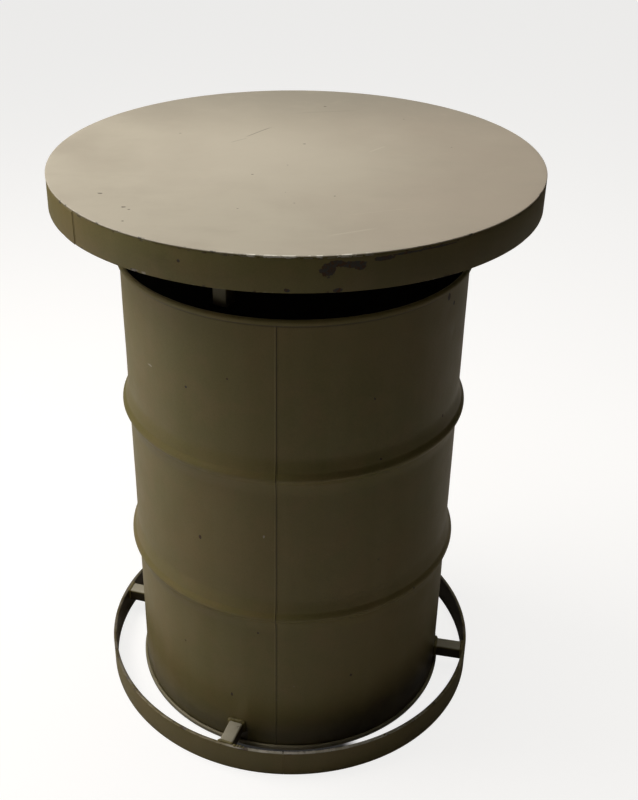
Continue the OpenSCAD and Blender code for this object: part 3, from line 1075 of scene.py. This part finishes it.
def foot_chime_material():
    """The bottom chime, with a painted highlight along its upper shoulder."""
    def pale(box):
        # painted highlight along the shoulder
        shoulder = box.band(box.z, 0.0040, CHIME_H, 0.0010)
        return box.times(shoulder, box.plus(0.2, box.times(box.noise(30, 3, seed=71), 0.7)))

    return painted("foot_chime_paint", 3.0, None, None, None, 0.36, pale)


def head_shade_material():
    """Near-black on the head under the table, painted shade for the deep shadow there, with faint dust and
    rust flecks; it hardly reflects.
    """
    box = Paintbox("head_painted_shade")
    dust = box.step(box.noise(24, 5, 0.65, seed=4), 0.50, 0.80)
    color = box.mix(box.times(dust, 0.02), SHADE_BLACK, DUST)
    chip = flecks(box, 48, 0.30, 0.10, 6)
    color = box.mix(box.times(chip, 0.12), color, RUST)
    box.bump((box.noise(620, 2), 0.05 * MM), (box.noise(70, 3), 0.2 * MM))
    box.shader.inputs["Specular IOR Level"].default_value = 0.05
    return box.finish(color, box.plus(0.80, box.times(dust, 0.1)))


RIM_CHIPS = (
    # azimuth and height; half sizes in degrees and in metres
    ((7.9, 0.9870), (1.6, 0.0105)),
    ((9.6, 0.9950), (2.0, 0.0050)),
    ((13.0, 0.9930), (2.3, 0.0050)),
    ((14.2, 0.9885), (1.1, 0.0040)),
    ((19.0, 0.9975), (2.3, 0.0030)),
    ((24.0, 1.0005), (3.4, 0.0016)),
    ((31.0, 1.0010), (4.5, 0.0013)),
    ((-32.5, 0.9560), (0.9, 0.0026)),
    ((0.1, 0.9585), (0.6, 0.0024)),
    ((9.9, 0.9575), (0.9, 0.0030)),
    ((-21.7, 0.9853), (0.32, 0.0020)),
    ((152.0, 0.9950), (2.4, 0.0060)),
    ((-150.0, 0.9580), (1.8, 0.0036)),
)


def rim_material():
    def chips(box):
        ragged = box.plus(box.ragged(130, 4, 1.5, 0.6), box.ragged(300, 2, 0.5))
        marks = box.spots(box.azimuth(), box.z, RIM_CHIPS, ragged)
        edge = box.times(
            box.step(box.z, PLATE_Z - 0.0030, PLATE_Z - 0.0005),
            box.step(box.noise(85, 4, 0.6, seed=12), 0.55, 0.62),
            0.85,
        )
        low_edge = box.times(
            box.step(box.z, BAND_Z + 0.0035, BAND_Z + 0.0010),
            box.step(box.noise(70, 4, 0.6, seed=15), 0.58, 0.64),
            0.85,
        )
        return box.most(edge, low_edge, marks)

    def bright(box):
        azimuth = box.azimuth()
        lip = box.times(
            box.step(box.z, BAND_Z + 0.0026, BAND_Z + 0.0006),
            box.step(box.noise(60, 4, 0.6, seed=18), 0.60, 0.70),
            0.4,
        )
        left_lip = box.times(
            box.step(box.z, BAND_Z + 0.0050, BAND_Z + 0.0020),
            box.band(azimuth, -33.5, -28.5, 0.8),
            box.step(box.noise(110, 3, 0.6, seed=25), 0.46, 0.54),
            0.6,
        )
        top_edge = box.times(
            box.step(box.z, PLATE_Z - 0.0012, PLATE_Z - 0.0002),
            box.band(azimuth, -12, 16, 3),
            box.step(box.noise(110, 3, 0.6, seed=19), 0.46, 0.54),
        )
        return box.most(lip, left_lip, top_edge)

    def grime_and_shade(box):
        azimuth = box.azimuth()
        joint = box.times(box.band(azimuth, RIM_JOINT_AZ + 0.14, RIM_JOINT_AZ + 0.24, 0.08), 0.25)
        smear = box.times(box.step(box.noise(11, 4, 0.6, (1, 1, 2.5), 23), 0.52, 0.80), 0.22)
        ragged = box.times(box.noise(8, 3, 0.6, seed=27), 24)
        # painted shade: darker over the rim's right side
        right = box.times(box.band(box.plus(azimuth, ragged), 24, 130, 14), 0.30)
        return box.most(joint, smear, right)

    return painted("rim_paint", 4.0, chips, bright, grime_and_shade, 0.36)


TOP_PITS = (
    # x, y, radius of the dark pits in the top's paint
    (0.013, 0.070, 0.0030), (-0.063, -0.081, 0.0026), (-0.011, -0.036, 0.0016),
    (0.045, 0.285, 0.0032), (-0.237, -0.226, 0.0040), (-0.228, -0.235, 0.0028),
    (-0.280, -0.172, 0.0044), (-0.230, -0.279, 0.0028), (-0.075, -0.225, 0.0018),
    (0.062, -0.169, 0.0020), (0.004, -0.200, 0.0018), (-0.010, -0.156, 0.0012),
    (-0.196, 0.118, 0.0022), (0.182, 0.214, 0.0020), (0.251, 0.062, 0.0016),
)
TOP_SCRATCHES = (
    # from x, y to x, y, half width; how much darker (-) or paler (+)
    ((-0.088, 0.101), (-0.042, 0.161), 0.0011, -0.55),
    ((-0.110, 0.072), (-0.080, 0.100), 0.0009, -0.30),
    ((0.114, 0.030), (0.146, 0.068), 0.0016, 0.45),
    ((0.047, -0.322), (0.124, -0.289), 0.0018, 0.35),
    ((-0.190, -0.040), (-0.060, -0.075), 0.0008, 0.22),
    ((0.060, -0.250), (0.190, -0.205), 0.0009, 0.22),
    ((-0.020, 0.240), (0.110, 0.262), 0.0010, -0.20),
)


def line_mask(box, start, stop, half):
    """1 along a straight scratch on the top, fading at its ends."""
    across = Vector(stop) - Vector(start)
    length = across.length
    along_x, along_y = across / length
    dx = box.minus(box.x, start[0])
    dy = box.minus(box.y, start[1])
    run = box.plus(box.times(dx, along_x), box.times(dy, along_y))
    off = box.minus(box.times(dx, along_y), box.times(dy, along_x))
    bow = box.times(box.minus(box.noise(9, 1), 0.5), 0.010)
    off = box.math("ABSOLUTE", box.plus(off, bow))
    ends = box.band(run, 0.12 * length, 0.88 * length, 0.12 * length)
    return box.times(box.step(off, half * 1.6, half * 0.4), ends)


def top_material():
    box = Paintbox("table_top_paint")
    radius = box.radius()
    azimuth = box.azimuth()
    clouds = box.step(box.noise(4.2, 4, 0.55, seed=3), 0.38, 0.66)
    # pinker towards +X, the hue real and its extra darkness painted shade on the right
    pink = box.step(box.plus(box.x, box.times(box.noise(5, 3, seed=6), 0.5)), 0.15, 0.62)
    smears = box.step(box.noise(8, 5, 0.62, (1.0, 2.2, 1), 11), 0.46, 0.74)
    # painted shade: darker towards the back
    back = box.step(box.plus(box.y, box.times(box.noise(5, 3, seed=7), 0.2)), 0.22, 0.50)
    color = box.mix(clouds, PALE_TOP, PALE_TOP_DULL)
    color = box.mix(box.times(pink, 0.8), color, PALE_TOP_PINK)
    color = box.mix(box.times(smears, 0.45), color, PALE_TOP_DULL)
    color = box.mix(box.times(back, 0.95), color, PALE_TOP_SHADED)
    # painted pool of light: paler round a point near the middle
    off_x = box.plus(box.x, 0.06)
    off_y = box.minus(box.y, 0.02)
    from_middle = box.math("SQRT", box.plus(box.times(off_x, off_x), box.times(off_y, off_y)))
    middle = box.step(box.plus(from_middle, box.times(box.noise(7, 4, 0.6, seed=9), 0.12)), 0.38, 0.06)
    color = box.mix(box.times(middle, 0.75), color, PALE_TOP_LIT)
    haze = box.step(box.noise(18, 5, 0.7, seed=14), 0.50, 0.78)
    color = box.mix(box.times(haze, 0.22), color, (0.52, 0.48, 0.38))
    for start, stop, half, tone in TOP_SCRATCHES:
        shade = GRIME_AND_SHADE if tone < 0 else (0.60, 0.57, 0.48)
        color = box.mix(box.times(line_mask(box, start, stop, half), abs(tone)), color, shade)
    ovals = [((x, y), (size * 0.8, size * 0.55)) for x, y, size in TOP_PITS]
    pits = box.spots(box.x, box.y, ovals, box.ragged(420, 2, 1.2))
    pits = box.most(pits, flecks(box, 22, 0.26, 0.045, 51))
    color = box.mix(box.times(pits, 0.75), color, GRIME_AND_SHADE)
    edge = box.step(radius, TOP_R - 0.0020, TOP_R - 0.0006)
    below = box.step(box.z, TABLE_H - 0.0009, TABLE_H - 0.0018)
    side_coat = khaki_coat(box, 4.0)
    color = box.mix(box.times(below, edge), color, side_coat)
    nicks = box.times(edge, box.step(box.noise(70, 4, 0.6, seed=31), 0.60, 0.66))
    color = box.mix(box.times(nicks, 0.8), color, BARE_STEEL)
    # worn edge at the front, made near-white as a painted highlight there as well
    worn = box.times(
        box.step(radius, TOP_R - 0.0034, TOP_R - 0.0012),
        box.band(azimuth, -11, 15, 4),
        box.step(box.noise(55, 4, 0.6, seed=33), 0.44, 0.52),
    )
    color = box.mix(worn, color, (0.88, 0.86, 0.78))
    roughness = box.plus(0.40, box.times(box.noise(12, 5, 0.65, seed=21), 0.20))
    roughness = box.minus(roughness, box.times(worn, 0.18))
    scuffs = box.noise(150, 3, 0.6, (1, 0.12, 1), 22)
    box.bump(
        (box.noise(620, 2), 0.05 * MM), (box.noise(60, 3), 0.20 * MM), (scuffs, 0.03 * MM),
        (box.times(pits, -1.0), 0.18 * MM),
    )
    return box.finish(color, roughness, box.times(worn, 0.15))


def ring_material():
    def chips(box):
        edge = box.times(
            box.step(box.z, RING_H - 0.004, RING_H - 0.001),
            box.step(box.noise(60, 4, 0.6, seed=41), 0.56, 0.63),
        )
        scrapes = box.times(
            box.step(box.noise(55, 4, 0.65, (1, 1, 3.0), 43), 0.68, 0.73),
            box.band(box.z, 0.004, 0.047, 0.002),
        )
        return box.times(box.most(edge, scrapes), 0.85)

    def bright(box):
        azimuth = box.azimuth()
        edge = box.step(box.z, RING_H - 0.0016, RING_H - 0.0002)
        worn = box.step(box.noise(34, 4, 0.6, seed=45), 0.42, 0.56)
        front = box.band(azimuth, -14, 42, 8)
        return box.times(edge, box.plus(box.times(front, 0.75), 0.15), worn)

    def grime_and_shade(box):
        # darker towards the bottom, in patches
        low = box.times(box.step(box.z, 0.025, 0.0), box.noise(16, 4, 0.6, seed=47), 0.7)
        smear = box.times(box.step(box.noise(20, 4, 0.6, (1, 1, 2.0), 49), 0.50, 0.75), 0.35)
        radius = box.radius((RING_OFF_X, RING_OFF_Y))
        # painted shade on the ring's inner face
        inner = box.times(box.step(radius, RING_IN_R + 0.0022, RING_IN_R + 0.0008), 0.96)
        azimuth = box.azimuth()
        sides = box.most(box.step(azimuth, -35, -70), box.step(azimuth, 95, 120))
        # painted shade: the top edge darker on the sides
        edge = box.times(box.step(box.z, RING_H - 0.0016, RING_H - 0.0004), sides, 0.60)
        return box.most(low, smear, inner, edge, 0.22)

    # painted highlight: the top edge paler at the front
    def pale(box):
        edge = box.step(box.z, RING_H - 0.0022, RING_H - 0.0008)
        front = box.band(box.azimuth(), -16, 38, 8)
        return box.times(edge, front)

    return painted("foot_ring_paint", 7.0, chips, bright, grime_and_shade, 0.40, pale)


def bracket_material():
    def chips(box):
        scrapes = box.step(box.noise(70, 4, 0.65, seed=53), 0.66, 0.72)
        return box.times(scrapes, box.step(box.z, 0.030, 0.045))

    def bright(box):
        top = box.step(box.z, RING_H - 0.0010, RING_H - 0.0002)
        return box.times(top, box.step(box.noise(40, 4, 0.65, seed=55), 0.58, 0.74), 0.35)

    # painted highlight: the top face paler
    def pale(box):
        top = box.step(box.z, RING_H - 0.0024, RING_H - 0.0006)
        return box.times(top, box.plus(0.70, box.times(box.noise(60, 3, seed=57), 0.5)))

    # painted shade: darker down the sides below the top face
    def grime_and_shade(box):
        return box.times(box.step(box.z, RING_H - 0.0020, RING_H - 0.0050), 0.93)

    return painted("bracket_paint", 9.0, chips, bright, grime_and_shade, 0.42, pale)


def weld_material():
    def chips(box):
        return box.step(box.noise(150, 3, 0.6, seed=61), 0.64, 0.70)

    def grime_and_shade(box):
        return box.times(box.step(box.noise(200, 3, seed=63), 0.40, 0.70), 0.35)

    return painted("weld_paint", 12.0, chips, None, grime_and_shade, 0.40)


def frame_material():
    """Paint of posts and bearers under the table: painted shade on the posts' inner faces, the front
    post's right-hand face, the feet and the bearers, and a painted highlight on the posts' outer faces.
    """
    def grime_and_shade(box):
        # painted shade on inner faces, the front post's right-hand face, the bearers and the feet
        inner = box.step(box.radius(), POST_R - TUBE_W / 2 + 0.004, POST_R - TUBE_W / 2 - 0.001)
        azimuth = box.azimuth()
        shade = box.band(azimuth, POST_AZ + 2.6, POST_AZ + 5, 0.3)
        high = box.step(box.z, BEARER_Z - 0.004, BEARER_Z + 0.004)
        foot = box.step(box.z, HEAD_Z + 0.016, HEAD_Z + 0.002)
        return box.times(box.most(inner, shade, high, foot), 0.92)

    # painted highlight on the posts' outer faces
    def pale(box):
        return box.times(box.step(box.radius(), POST_R + 0.006, POST_R + 0.012), 0.8)

    return painted("frame_paint", 14.0, None, None, grime_and_shade, 0.40, pale)


def zinc_material():
    box = Paintbox("zinc_plate")
    bloom = box.step(box.noise(120, 4, 0.6), 0.40, 0.70)
    color = box.mix(bloom, ZINC, ZINC_DULL)
    stain = box.step(box.noise(45, 4, 0.65, seed=3), 0.58, 0.72)
    color = box.mix(box.times(stain, 0.5), color, RUST)
    roughness = box.plus(0.32, box.times(bloom, 0.22))
    box.bump((box.noise(500, 3), 0.04 * MM))
    return box.finish(color, roughness, box.minus(0.95, box.times(stain, 0.5)))


def rubber_material():
    box = Paintbox("seal_rubber")
    bloom = box.step(box.noise(160, 3), 0.45, 0.75)
    color = box.mix(box.times(bloom, 0.4), RUBBER, (0.075, 0.070, 0.064))
    box.bump((box.noise(900, 2), 0.04 * MM))
    return box.finish(color, box.plus(0.62, box.times(bloom, 0.2)))


# ------------------------------------------------------------------ putting it together


def fit(piece, material, node, body="table"):
    """Dresses a piece, puts it on its body and lets it stand for its CAD node."""
    piece.data.materials.clear()
    piece.data.materials.append(material)
    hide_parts(node)
    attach(piece, body)


drum_paint = drum_material()
weld_paint = weld_material()
frame_paint = frame_material()
bracket_paint = bracket_material()
zinc_plate = zinc_material()
seal_rubber = rubber_material()

fit(build_wall(), drum_paint, "drum_body")
fit(build_seam(), drum_paint, "drum_seam_weld")
top_head = build_top_head()
fit(top_head, chime_material(), "top_head")
# the head inside the chime gets the near-black that paints the deep shade under the table
head_shade_black = head_shade_material()
top_head.data.materials.append(head_shade_black)
for face in top_head.data.polygons:
    if face.center.xy.length < FOLD_IN_R + SHEET / 2:
        face.material_index = 1
fit(build_bottom_head(), foot_chime_material(), "bottom_head")
fit(
    build_plug("bung_plug_cup", BUNG_AZ, BUNG_THREAD, BUNG_PITCH),
    zinc_plate, "bung_plug", "bung_plug_body",
)
fit(
    build_plug("vent_plug_cup", BUNG_AZ + 180, VENT_THREAD, VENT_PITCH),
    zinc_plate, "vent_plug", "vent_plug_body",
)
for number, azimuth in enumerate(post_azimuths(), 1):
    fit(build_post(number, azimuth), frame_paint, f"post_{number}")
# the post feet take the same near-black painted shade as the head
fit(build_post_foot_welds(), head_shade_black, "post_foot_welds")
fit(build_post_head_welds(), weld_paint, "post_head_welds")
fit(
    build_bearer("long_bearer_tube", POST_AZ, lambda u, v: -band_reach(u, v)),
    frame_paint, "long_bearer",
)
for number in (1, 2):
    piece = build_bearer(
        f"half_bearer_{number}_tube", POST_AZ + 180 * number - 90, lambda u, v: TUBE_W / 2
    )
    fit(piece, frame_paint, f"half_bearer_{number}")
fit(build_bearer_welds(), weld_paint, "bearer_welds")
rim_paint = rim_material()
fit(build_plate(), top_material(), "table_plate")
fit(build_rim(), rim_paint, "rim_band")
fit(build_rim_joint(), rim_paint, "rim_joint_weld")
fit(build_stitch_welds(), weld_paint, "plate_stitch_welds")
ring_paint = ring_material()
fit(build_ring(), ring_paint, "foot_ring")
fit(build_ring_joint(), ring_paint, "foot_ring_joint_weld")
for number, azimuth in enumerate(BRACKET_AZ, 1):
    fit(build_bracket(number, azimuth), bracket_paint, f"bracket_{number}")
fit(build_bracket_welds(), weld_paint, "bracket_welds")

KEPT_NODES = {
    "bung_flange": zinc_plate, "vent_flange": zinc_plate,
    "bung_gasket": seal_rubber, "vent_gasket": seal_rubber,
    "bung_flange_seal": seal_rubber, "vent_flange_seal": seal_rubber,
    "top_chime_seal": seal_rubber, "bottom_chime_seal": seal_rubber,
}
for name, material in KEPT_NODES.items():
    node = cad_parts[name]
    node.data.materials.clear()
    node.data.materials.append(material)

# ------------------------------------------------------------------ stage, light and camera

FLOOR_SEEN = (0.30, 0.298, 0.295)
FLOOR_LIT = (0.50, 0.48, 0.44, 1)
FLOOR_GLOW = 0.82
SLIT_PAINTED_SHADOW = (0.004, 0.004, 0.003)
BACKDROP = (1, 0.995, 0.985, 1)
ROOM_LIGHT = (1.0, 0.87, 0.68, 1)

def camera_choice(tree, for_camera, for_light, output):
    """Shows one shader to the camera and lights the scene with another."""
    path = tree.nodes.new("ShaderNodeLightPath")
    choose = tree.nodes.new("ShaderNodeMixShader")
    tree.links.new(path.outputs["Is Camera Ray"], choose.inputs[0])
    tree.links.new(for_light.outputs[0], choose.inputs[1])
    tree.links.new(for_camera.outputs[0], choose.inputs[2])
    tree.links.new(choose.outputs[0], output.inputs["Surface"])


def stage_material():
    """A pale floor that throws back less light on the table than it shows.

    It glows for the camera, all but in the slit between drum and foot ring at the front, where a painted
    shadow darkens it.
    """
    box = Paintbox("stage_floor")
    tree = box.tree
    tree.nodes.remove(box.shader)
    near = box.step(box.radius(), 0.310, 0.301)
    # painted shadow on the floor in the front slit
    slit = box.times(near, box.band(box.azimuth(), -22, 24, 4), 0.97)
    pale = tree.nodes.new("ShaderNodeBsdfDiffuse")
    box.link(box.mix(slit, FLOOR_SEEN, SLIT_PAINTED_SHADOW), pale.inputs["Color"])
    glow = tree.nodes.new("ShaderNodeEmission")
    glow.inputs["Color"].default_value = BACKDROP
    box.link(box.times(box.minus(1.0, slit), FLOOR_GLOW), glow.inputs["Strength"])
    seen = tree.nodes.new("ShaderNodeAddShader")
    tree.links.new(pale.outputs[0], seen.inputs[0])
    tree.links.new(glow.outputs[0], seen.inputs[1])
    dim = tree.nodes.new("ShaderNodeBsdfDiffuse")
    dim.inputs["Color"].default_value = FLOOR_LIT
    camera_choice(tree, seen, dim, box.output)
    return box.material


def build_stage():
    bm = bmesh.new()
    bmesh.ops.create_circle(bm, cap_ends=True, segments=96, radius=40)
    floor = finish_mesh("stage_floor", bm)
    floor.location.z = -0.0005
    floor.data.materials.append(stage_material())


def build_world():
    world = bpy.data.worlds.new("room")
    bpy.context.scene.world = world
    world.use_nodes = True
    tree = world.node_tree
    tree.nodes.clear()
    output = tree.nodes.new("ShaderNodeOutputWorld")
    dim = tree.nodes.new("ShaderNodeBackground")
    dim.inputs["Color"].default_value = ROOM_LIGHT
    direction = tree.nodes.new("ShaderNodeTexCoord").outputs["Generated"]
    axes = tree.nodes.new("ShaderNodeSeparateXYZ")
    falloff = tree.nodes.new("ShaderNodeMapRange")
    falloff.inputs["From Min"].default_value = -1.0
    falloff.inputs["From Max"].default_value = 1.0
    falloff.inputs["To Min"].default_value = 0.055
    falloff.inputs["To Max"].default_value = 0.012
    tree.links.new(direction, axes.inputs[0])
    tree.links.new(axes.outputs["X"], falloff.inputs["Value"])
    tree.links.new(falloff.outputs["Result"], dim.inputs["Strength"])
    pale = tree.nodes.new("ShaderNodeBackground")
    pale.inputs["Color"].default_value = BACKDROP
    pale.inputs["Strength"].default_value = 0.97
    camera_choice(tree, pale, dim, output)


def aim(thing, target):
    direction = Vector(target) - thing.location
    thing.rotation_euler = direction.to_track_quat("-Z", "Y").to_euler()


def add_softbox(name, location, target, width, height, power, color, mirrored):
    """A rectangular lamp; mirrored tells whether glossy paint shows its reflection."""
    data = bpy.data.lights.new(name, "AREA")
    data.shape = "RECTANGLE"
    data.size = width
    data.size_y = height
    data.energy = power
    data.color = color
    lamp = bpy.data.objects.new(name, data)
    bpy.context.scene.collection.objects.link(lamp)
    lamp.location = location
    lamp.visible_glossy = mirrored
    aim(lamp, target)


CAMERA_AT = Vector((0.0443, -1.7430, 1.5896))
CAMERA_YAW = 2.525  # degrees to the left
CAMERA_PITCH = 30.49  # degrees down
CAMERA_LENS = 51.255  # millimetres, on a sensor 36 wide
CAMERA_SHIFT = 0.0553


def build_camera():
    data = bpy.data.cameras.new("photo_camera")
    data.lens = CAMERA_LENS
    data.sensor_width = 36
    data.shift_x = CAMERA_SHIFT
    data.clip_end = 200
    camera = bpy.data.objects.new("photo_camera", data)
    bpy.context.scene.collection.objects.link(camera)
    yaw, pitch = math.radians(CAMERA_YAW), math.radians(CAMERA_PITCH)
    ahead = Vector((-math.sin(yaw), math.cos(yaw), 0))
    right = Vector((math.cos(yaw), math.sin(yaw), 0))
    forward = ahead * math.cos(pitch) - Vector((0, 0, math.sin(pitch)))
    matrix = Matrix((right, right.cross(forward), -forward)).transposed().to_4x4()
    matrix.translation = CAMERA_AT
    camera.matrix_world = matrix
    bpy.context.scene.camera = camera


WARM = (1.0, 0.95, 0.87)
WINDOW = (1.0, 0.94, 0.89)

build_stage()
build_world()
add_softbox("overhead", (-0.10, 0.30, 3.0), (0, 0.0, 1.0), 2.4, 2.0, 31.5, WARM, True)
add_softbox("left", (-1.65, 0.3, 2.3), (0, 0, 0.45), 1.5, 1.0, 35, WINDOW, True)
add_softbox("low_left", (-1.8, -0.2, 0.30), (0, 0, 0.25), 1.6, 0.4, 4, WINDOW, False)
add_softbox("front", (-2.2, -3.8, 1.0), (0, 0, 0.7), 2.4, 1.2, 8, (1.0, 0.95, 0.88), False)
add_softbox("right", (1.6, 0.5, 0.20), (0.2, 0, 0.05), 0.6, 0.3, 0.6, (1.0, 0.93, 0.86), False)
build_camera()
bpy.context.scene.view_settings.view_transform = "Standard"
